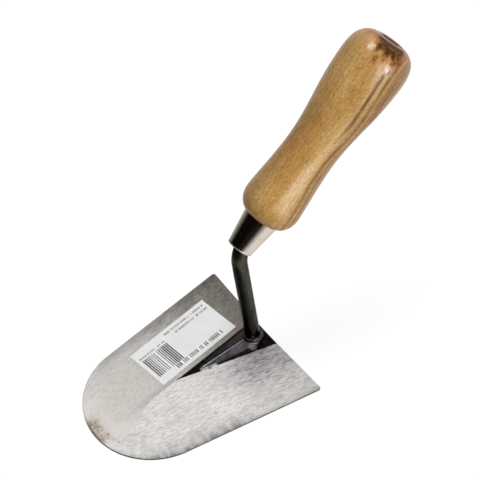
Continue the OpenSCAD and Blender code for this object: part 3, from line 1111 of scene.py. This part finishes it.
def ground_steel():
    """Belt-ground steel: a coarse near half, a finer far half and the black web between them."""
    steel = Finish("ground_steel", Metallic=1.0)
    place = steel.millimetres()
    x, y, z = steel.split(place)
    skin = steel.patterns(place, SKIN_PATTERNS)
    near_pattern = steel.patterns(steel.turned(place, NEAR_GRAIN), NEAR_PATTERNS)
    far_pattern = steel.patterns(steel.turned(place, FAR_GRAIN), FAR_PATTERNS)
    coarse = steel.rise(near_pattern["streak"], 0.34, 0.58)
    toe_gap = TOE_R - steel.far_off(x - TOE_CENTRE_X, y)
    square_off = steel.math("ABSOLUTE", y) * math.cos(SIDE_TAPER) + x * math.sin(SIDE_TAPER)
    on_arc = steel.rise(x, *ARC_SPAN)
    rim_gap = steel.blend(on_arc, SIDE_DISTANCE - square_off, toe_gap)
    near, far, seam_side = ground_halves(steel, (skin["ragged"] - 0.5) * RAGGED_REACH, x, y, z)
    colour = steel.mix(steel.rise(skin["scale"], 0.5, 0.7), SCALE_BLACK, SCALE_WORN)
    colour = steel.mix(far, colour, far_half(steel, far_pattern, seam_side, rim_gap, x, y))
    colour = steel.mix(near, colour, near_half(steel, near_pattern, coarse, rim_gap, x, y))
    steel.set("Base Color", rusted_toe(steel, skin, colour, toe_gap, on_arc, x, y))
    grain = steel.blend(near, far_pattern["fine"], coarse)
    steel.set("Roughness", 0.54 + grain * 0.12)
    steel.bump(grain, 0.02)
    return steel.material


def sheared_edge():
    """The cut edge of the blade: dull, dark and faintly lined."""
    edge = Finish("sheared_edge", Metallic=0.9)
    lines = edge.noise(edge.millimetres(), size=(1.2, 1.2, 0.2), detail=3.0)
    edge.set("Base Color", edge.mottled(lines, seen(68, 65, 62), seen(100, 96, 92)))
    edge.set("Roughness", 0.45 + lines * 0.2)
    edge.bump(lines, 0.04)
    return edge.material


# Heights on the bar where its scuffs and its duller skin start and are full
SCUFF_SPAN = (66.0, 88.0)
DULL_SPAN = (70.0, 90.0)


def black_bar():
    """The bar's dark mill scale: smooth satin, with brownish scuffs round the bend."""
    black = Finish("black_bar", Metallic=1.0, Specular_Tint=(0.5, 0.5, 0.5, 1.0))
    place = black.millimetres()
    _, _, z = black.split(place)
    cloud = black.noise(place, size=(5, 5, 12), detail=3.0)
    specks = black.noise(place, size=(0.7, 0.7, 1.4), detail=3.0, roughness=0.65)
    colour = black.mottled(cloud, seen(66, 65, 59), seen(83, 81, 73))
    colour = black.mix(black.rise(specks, 0.42, 0.3) * 0.5, colour, seen(34, 33, 30))
    scuffs = black.rise(specks, 0.5, 0.62) * black.rise(z, *SCUFF_SPAN)
    colour = black.mix(scuffs * 0.7, colour, seen(96, 84, 70))
    black.set("Base Color", colour)
    black.set("Roughness", 0.1 + specks * 0.08 + black.rise(z, *DULL_SPAN) * 0.16 + scuffs * 0.1)
    black.bump(specks, 0.03)
    return black.material


# Lower edge of the foot's flanks, as a straight line on the near half of the blade
FLANK_EDGE = ((20.0, 5.7), -0.2123)
# Places on the foot: change of skin at the crest, painted highlight on the crest, painted shade on the lower
# edge, painted highlight by the neck with its X and Y, painted light on the near flank, and the stretch
# dressed with the blade
SKIN_CHANGE = (-0.4, 0.4)
CREST_HIGHLIGHT_START = (6.0, 8.0)
CREST_HIGHLIGHT_BAND = (0.45, 0.15)
UNDERCUT_SHADE_WIDTH = 2.3
UNDERCUT_SHADE_FROM = 5.0
UNDERCUT_SHADE_TAPER = 0.072
UNDERCUT_SHADE_BLUR = (-0.3, 0.3)
NECK_HIGHLIGHT_PLACE = (5.0, 6.0)
NECK_HIGHLIGHT_SPAN = (3.6, 0.6)
LIT_FLANK_X = (20.0, 8.0)
LIT_FLANK_Y = (0.6, 2.0)
DRESSED_FLANK = (-1.1, -0.6)
DRESSED_SIDE = (0.8, 1.4)


def black_forging():
    """The foot's blackened forging: painted highlights on the crest and by the neck, a painted lit flank,
    painted shade below.
    """
    black = Finish("black_forging", Metallic=1.0)
    place = black.millimetres()
    x, y, _ = black.split(place)
    cloud = black.noise(place, size=(5, 5, 5), detail=3.0)
    specks = black.noise(place, size=(0.8, 0.8, 0.8), detail=3.0, roughness=0.65)
    near_skin = black.mottled(cloud, seen(35, 34, 37), seen(57, 54, 59))
    far_skin = black.mottled(cloud, seen(33, 32, 27), seen(56, 53, 48))
    colour = black.mix(black.rise(y, *SKIN_CHANGE), far_skin, near_skin)
    colour = black.mix(black.rise(specks, 0.45, 0.3) * 0.6, colour, seen(20, 20, 18))
    inside = side_of(FLANK_EDGE, x, black.math("ABSOLUTE", y)) + (specks - 0.5) * 0.6
    # Painted shade along the flanks' lower edge, where the foot stands off the blade
    undercut_shade = black.rise(inside + UNDERCUT_SHADE_WIDTH - (x - UNDERCUT_SHADE_FROM) * UNDERCUT_SHADE_TAPER, *UNDERCUT_SHADE_BLUR)
    colour = black.mix(undercut_shade * 0.85, colour, seen(14, 14, 12))
    # Painted highlight on the near flank below the neck
    from_neck_highlight = black.far_off(x - NECK_HIGHLIGHT_PLACE[0], y - NECK_HIGHLIGHT_PLACE[1])
    colour = black.mix(black.rise(from_neck_highlight, *NECK_HIGHLIGHT_SPAN) * 0.65, colour, seen(166, 160, 166))
    # Painted light on the near flank
    painted_lit_flank = black.rise(x, *LIT_FLANK_X) * black.rise(y, *LIT_FLANK_Y) * black.rise(undercut_shade, 0.6, 0.2)
    colour = black.mix(painted_lit_flank * 0.3, colour, seen(112, 110, 114))
    # Painted highlight along the crest, broken by specks
    from_crest = black.math("ABSOLUTE", y + (cloud - 0.5) * 0.8)
    crest = black.rise(from_crest, *CREST_HIGHLIGHT_BAND) * black.rise(x, *CREST_HIGHLIGHT_START)
    colour = black.mix(crest * black.rise(specks, 0.34, 0.5) * 0.75, colour, seen(120, 117, 119))
    dressed = black.rise(x, *DRESSED_START) * black.rise(inside, *DRESSED_FLANK)
    dressed = dressed * black.rise(y, *DRESSED_SIDE)
    black.set("Base Color", black.mix(dressed, colour, seen(150, 147, 145)))
    black.set("Roughness", 0.22 + specks * 0.2 + dressed * 0.3)
    black.bump(specks, 0.05)
    return black.material


# Painted highlight on the front of the weld ring: its direction about the neck, and where it starts and is
# full
FRONT_HIGHLIGHT_TURN = math.radians(62)
FRONT_HIGHLIGHT_SPAN = (2.6, 5.4)


def rippled_weld():
    """Weld metal: rippled, faintly violet, brighter than the scale, with a painted highlight on its front.
    """
    weld = Finish("rippled_weld", Metallic=1.0)
    place = weld.millimetres()
    x, y, _ = weld.split(place)
    ripple = weld.noise(place, size=(1.0, 1.0, 1.0), detail=3.0)
    # Painted highlight on the ring's front
    front_highlight = weld.rise(x * math.cos(FRONT_HIGHLIGHT_TURN) + y * math.sin(FRONT_HIGHLIGHT_TURN), *FRONT_HIGHLIGHT_SPAN)
    colour = weld.mottled(ripple, seen(24, 22, 22), seen(64, 60, 61))
    colour = weld.mix(front_highlight * (0.25 + ripple * 0.5), colour, seen(132, 120, 126))
    weld.set("Base Color", colour)
    weld.set("Roughness", 0.24 + ripple * 0.2)
    weld.bump(ripple, 0.1)
    return weld.material


# Ragged line across the tacks where they were ground with the near half
TACK_REACH = 1.5
TACK_SPAN = (-1.6, -0.8)


def dressed_tacks():
    """Tack welds: dark as the scale on the far side, ground bright where the near half was dressed."""
    tack = Finish("dressed_tacks", Metallic=1.0)
    place = tack.millimetres()
    x, y, _ = tack.split(place)
    ripple = tack.noise(place, size=(0.9, 0.9, 0.9), detail=3.0)
    dark = tack.mottled(ripple, seen(22, 21, 20), seen(48, 46, 45))
    ground = tack.rise(side_of(NEAR_EDGE, x, y) + (ripple - 0.5) * TACK_REACH, *TACK_SPAN)
    tack.set("Base Color", tack.mix(ground, dark, seen(152, 149, 147)))
    tack.set("Roughness", 0.3 + ripple * 0.2 + ground * 0.35)
    tack.bump(ripple, 0.08)
    return tack.material


# Distance from the ferrule's mouth where its lip starts and is full
LIP_SPAN = (1.2, 0.6)


def nickel_plate():
    """Bright plating: warm white, with faint lengthwise rubbing, a few dull spots and a dull lip."""
    plate = Finish("nickel_plate", Metallic=1.0, Specular_Tint=(0.75, 0.74, 0.72, 1.0))
    place = plate.millimetres(HANDLE_TURN, SHOULDER)
    _, _, along = plate.split(place)
    rubbed = plate.noise(place, size=(0.5, 0.5, 9.0))
    dull = plate.noise(place, size=(3.5, 3.5, 5.0), detail=3.0)
    lip = plate.rise(along + FERRULE_LEN, *LIP_SPAN)
    colour = plate.mix(plate.rise(dull, 0.45, 0.7), seen(214, 204, 193), seen(204, 194, 183))
    plate.set("Base Color", plate.mix(lip, colour, seen(196, 176, 168)))
    plate.set("Roughness", 0.09 + rubbed * 0.05 + plate.rise(dull, 0.55, 0.75) * 0.05 + lip * 0.45)
    plate.bump(rubbed, 0.003)
    return plate.material


def label_paper():
    """Matt white paper with a faint fibre and a little grime."""
    paper = Finish("label_paper")
    place = paper.millimetres()
    fibre = paper.noise(place, size=(0.6, 0.6, 0.6), detail=3.0, roughness=0.7)
    grime = paper.noise(place, size=(14, 14, 14))
    colour = paper.mix(paper.rise(grime, 0.4, 0.75), seen(249, 250, 250), seen(243, 244, 244))
    paper.set("Base Color", paper.mix(fibre * 0.1, colour, seen(200, 200, 200)))
    paper.set("Roughness", 0.5 + fibre * 0.2)
    paper.bump(fibre, 0.01)
    return paper.material


def printing_ink():
    """Thin grey-black print that lets a little paper show."""
    ink = Finish("printing_ink", Roughness=0.5)
    worn = ink.noise(ink.millimetres(), size=(0.5, 0.5, 0.5))
    ink.set("Base Color", ink.mix(ink.rise(worn, 0.45, 0.8), seen(66, 58, 61), seen(108, 98, 101)))
    return ink.material


# The pieces, each with the node that it stands for and the finish slot that it takes
pieces = [
    (ground_blade(ground_steel(), sheared_edge()), "blade", "blade_steel"),
    (forged_foot(black_forging()), "foot", "black_steel"),
    (bent_shank(black_bar()), "shank", "black_steel"),
    (weld_bead(rippled_weld()), "neck_weld", "weld_steel"),
    (tack_welds(dressed_tacks()), "foot_tacks", "weld_steel"),
    (plated_ferrule(nickel_plate()), "ferrule", "ferrule_plate"),
    (turned_handle(varnished_beech()), "handle", "handle_wood"),
    (paper_sticker(label_paper()), "sticker", "sticker_paper"),
    (sticker_print(printing_ink()), None, "sticker_paper"),
]
for made, node, slot in pieces:
    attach(made, "root")
    if node:
        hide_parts(node)


# Studio

CAMERA_PLACE = Vector((0.320174, 0.522367, 0.827511))
CAMERA_RIGHT = Vector((-0.8127, 0.5794, -0.0612))
CAMERA_UP = Vector((-0.4781, -0.6031, 0.6385))
FIELD_OF_VIEW = math.radians(16.37)
CENTRE = Vector((-0.01, 0.0, 0.08))


def studio_camera():
    """A long lens from above the toe's left side, at the photograph's angle."""
    data = bpy.data.cameras.new("camera")
    data.angle = FIELD_OF_VIEW
    camera = bpy.data.objects.new("camera", data)
    back = CAMERA_RIGHT.cross(CAMERA_UP).normalized()
    up = back.cross(CAMERA_RIGHT).normalized()
    right = up.cross(back)
    turn = Matrix((right, up, back)).transposed()
    camera.matrix_world = Matrix.Translation(CAMERA_PLACE) @ turn.to_4x4()
    bpy.context.scene.collection.objects.link(camera)
    bpy.context.scene.camera = camera


def way_of(azimuth, elevation):
    """The direction at this angle from +X round towards +Y and above the floor, in degrees."""
    a = math.radians(azimuth)
    e = math.radians(elevation)
    return Vector((math.cos(a) * math.cos(e), math.sin(a) * math.cos(e), math.sin(e)))


def softbox(name, azimuth, elevation, distance, width, height, power, lit=()):
    """A soft rectangular lamp that faces the object. Where pieces are given, it lights only them."""
    data = bpy.data.lights.new(name, "AREA")
    data.shape = "RECTANGLE"
    data.size = width
    data.size_y = height
    data.energy = power
    lamp = bpy.data.objects.new(name, data)
    way = way_of(azimuth, elevation)
    turn = way.to_track_quat("Z", "Y").to_matrix().to_4x4()
    lamp.matrix_world = Matrix.Translation(CENTRE + way * distance) @ turn
    bpy.context.scene.collection.objects.link(lamp)
    if lit:
        receivers = bpy.data.collections.new(name)
        for made in lit:
            receivers.objects.link(made)
        lamp.light_linking.receiver_collection = receivers


def seen_directly(wiring):
    """1 for rays from the camera and for what shows in metal and glass, else 0."""
    path = wiring.add("ShaderNodeLightPath")
    rays = [wiring.out(path, name) for name in ("Is Camera Ray", "Is Glossy Ray", "Is Transmission Ray")]
    return wiring.math("MAXIMUM", rays[0], wiring.math("MAXIMUM", rays[1], rays[2]))


AMBIENT = 0.34


def white_surroundings():
    """White all round to the eye and in reflections, and a dimmer even light on the object."""
    world = bpy.data.worlds.new("surroundings")
    world.use_nodes = True
    bpy.context.scene.world = world
    wiring = Wiring(world.node_tree)
    light = world.node_tree.nodes["Background"]
    light.inputs["Color"].default_value = (1, 1, 1, 1)
    strength = wiring.math("MULTIPLY_ADD", seen_directly(wiring), 1 - AMBIENT, AMBIENT)
    wiring.feed(light.inputs["Strength"], strength)


FLOOR_SIZE = 8.0
FLOOR_DROP = 0.0003
FLOOR_GLOW = 0.86
FLOOR_COLOUR = (0.22, 0.22, 0.22, 1)


def pale_floor():
    """A white floor that keeps a faint shadow of the object."""
    mesh = bpy.data.meshes.new("floor")
    half = FLOOR_SIZE / 2
    corners = [(-half, -half), (half, -half), (half, half), (-half, half)]
    mesh.from_pydata([(x, y, -FLOOR_DROP) for x, y in corners], [], [(0, 1, 2, 3)])
    material = bpy.data.materials.new("pale_floor")
    material.use_nodes = True
    wiring = Wiring(material.node_tree)
    shader = material.node_tree.nodes["Principled BSDF"]
    shader.inputs["Base Color"].default_value = FLOOR_COLOUR
    shader.inputs["Roughness"].default_value = 0.9
    shader.inputs["Specular IOR Level"].default_value = 0.0
    shader.inputs["Emission Color"].default_value = (1, 1, 1, 1)
    wiring.feed(shader.inputs["Emission Strength"], seen_directly(wiring) * FLOOR_GLOW)
    mesh.materials.append(material)
    floor = bpy.data.objects.new("floor", mesh)
    bpy.context.scene.collection.objects.link(floor)


CARD_STEPS = 72


def reflected_card(name, rows, start, end):
    """A card round the object through rings of (radius, height), seen only in polished metal and varnish.

    Returns the tree of its material, its shader and the azimuth in degrees, to be finished by the caller.
    """
    mesh = bpy.data.meshes.new(name)
    turns = [start + (end - start) * i / CARD_STEPS for i in range(CARD_STEPS + 1)]
    points = [way_of(turn, 0) * radius + Vector((0, 0, height)) for radius, height in rows for turn in turns]
    count = len(turns)
    faces = []
    for low in range(0, count * (len(rows) - 1), count):
        faces += [(low + i, low + count + i, low + count + i + 1, low + i + 1) for i in range(CARD_STEPS)]
    mesh.from_pydata(points, [], faces)
    layer = mesh.uv_layers.new(name="card")
    for loop in mesh.loops:
        layer.data[loop.index].uv = (turns[loop.vertex_index % count], 0.0)
    material = bpy.data.materials.new(name)
    material.use_nodes = True
    mesh.materials.append(material)
    card = bpy.data.objects.new(name, mesh)
    bpy.context.scene.collection.objects.link(card)
    card.visible_camera = False
    card.visible_diffuse = False
    card.visible_shadow = False
    card.visible_transmission = False
    wiring = Wiring(material.node_tree)
    shader = material.node_tree.nodes["Principled BSDF"]
    shader.inputs["Specular IOR Level"].default_value = 0.0
    azimuth, _, _ = wiring.split(wiring.out(wiring.add("ShaderNodeTexCoord"), "UV"))
    return wiring, shader, azimuth


CARD_NEAR = 0.075
CARD_FAR = 1.7
CARD_HEIGHT = 5.0
CARD_DARK = (0.0098, 0.0104, 0.0064, 1)
CARD_SIDE = (0.05, 0.039, 0.025, 1)
# Azimuths in degrees where the card starts, is full, thins out again and ends
CARD_START = -125
CARD_FULL = -40
CARD_THIN = 50
CARD_END = 86
# Azimuths where the card's tone shifts to its side colour
CARD_SHIFT = (12.0, 48.0)
# Where the apron is full, and the height from which the curtain thins out upwards
APRON_FULL = CARD_NEAR * 2.5
CURTAIN_FULL = CARD_HEIGHT / 2


def dark_card():
    """A dark curtain beyond the toe with an apron on the floor."""
    rows = [(CARD_NEAR, 0.0), (CARD_FAR, 0.0), (CARD_FAR, CARD_HEIGHT)]
    wiring, shader, azimuth = reflected_card("dark_card", rows, CARD_START, CARD_END)
    x, y, z = wiring.split(wiring.out(wiring.add("ShaderNodeTexCoord"), "Object"))
    ends = wiring.rise(azimuth, CARD_START, CARD_FULL) * wiring.rise(azimuth, CARD_END, CARD_THIN)
    apron = wiring.rise(wiring.far_off(x, y), CARD_NEAR, APRON_FULL)
    top = wiring.rise(z, CARD_HEIGHT, CURTAIN_FULL)
    wiring.feed(shader.inputs["Alpha"], ends * apron * top)
    tone = wiring.mix(wiring.rise(azimuth, *CARD_SHIFT), CARD_DARK, CARD_SIDE)
    wiring.feed(shader.inputs["Base Color"], tone)


LOW_NEAR = 0.008
LOW_FAR = 0.09
LOW_FADE = 0.04
LOW_HEIGHT = 0.006
LOW_START = -62
LOW_FULL = -8
LOW_THIN = 30
LOW_END = 78
LOW_SHADE = 0.72


def low_card():
    """A dark card just above the blade for the neck to reflect, clear from below."""
    rows = [(LOW_NEAR, LOW_HEIGHT), (LOW_FAR, LOW_HEIGHT)]
    wiring, shader, azimuth = reflected_card("low_card", rows, LOW_START, LOW_END)
    shader.inputs["Base Color"].default_value = CARD_DARK
    ends = wiring.rise(azimuth, LOW_START, LOW_FULL) * wiring.rise(azimuth, LOW_END, LOW_THIN)
    x, y, _ = wiring.split(wiring.out(wiring.add("ShaderNodeTexCoord"), "Object"))
    near = wiring.rise(wiring.far_off(x, y), LOW_FAR, LOW_FAR - LOW_FADE)
    from_above = 1.0 - wiring.out(wiring.add("ShaderNodeNewGeometry"), "Backfacing")
    wiring.feed(shader.inputs["Alpha"], ends * near * from_above * LOW_SHADE)


GLOW_NEAR = 0.48
GLOW_FAR = 1.25
GLOW_START = 68
GLOW_END = 102
GLOW_FADE = 7
GLOW_STRENGTH = 2.5


def bright_card():
    """A white card on the floor below the side lamp that glows by itself, as a painted reflection of lit
    floor.
    """
    rows = [(GLOW_NEAR, 0.0), (GLOW_FAR, 0.0)]
    wiring, shader, azimuth = reflected_card("bright_card", rows, GLOW_START, GLOW_END)
    shader.inputs["Base Color"].default_value = (0, 0, 0, 1)
    shader.inputs["Emission Color"].default_value = (1, 1, 1, 1)
    shader.inputs["Emission Strength"].default_value = GLOW_STRENGTH
    fade_in = wiring.rise(azimuth, GLOW_START, GLOW_START + GLOW_FADE)
    fade_out = wiring.rise(azimuth, GLOW_END, GLOW_END - GLOW_FADE)
    wiring.feed(shader.inputs["Alpha"], fade_in * fade_out)


bpy.context.scene.view_settings.view_transform = "Standard"
studio_camera()
white_surroundings()
pale_floor()
dark_card()
low_card()
bright_card()
# The side lamps would glare on the flat blade from the other side, so they light the raised pieces alone
FLAT_NODES = ("blade", "sticker", None)
raised = [made for made, node, _ in pieces if node not in FLAT_NODES]
softbox("overhead", azimuth=-150, elevation=75, distance=1.3, width=0.44, height=0.44, power=5.4)
softbox("overhead_small", azimuth=-70, elevation=79, distance=1.3, width=0.3, height=0.3, power=3.2)
softbox("side", azimuth=86, elevation=8, distance=1.3, width=0.5, height=0.5, power=2.9, lit=raised)
softbox("side_top", azimuth=82, elevation=25, distance=1.3, width=0.66, height=0.42, power=3.7, lit=raised)
softbox("side_small", azimuth=98, elevation=15, distance=1.3, width=0.34, height=0.32, power=5.0, lit=raised)
softbox("fill", azimuth=85, elevation=40, distance=1.6, width=1.2, height=1.2, power=2.2)
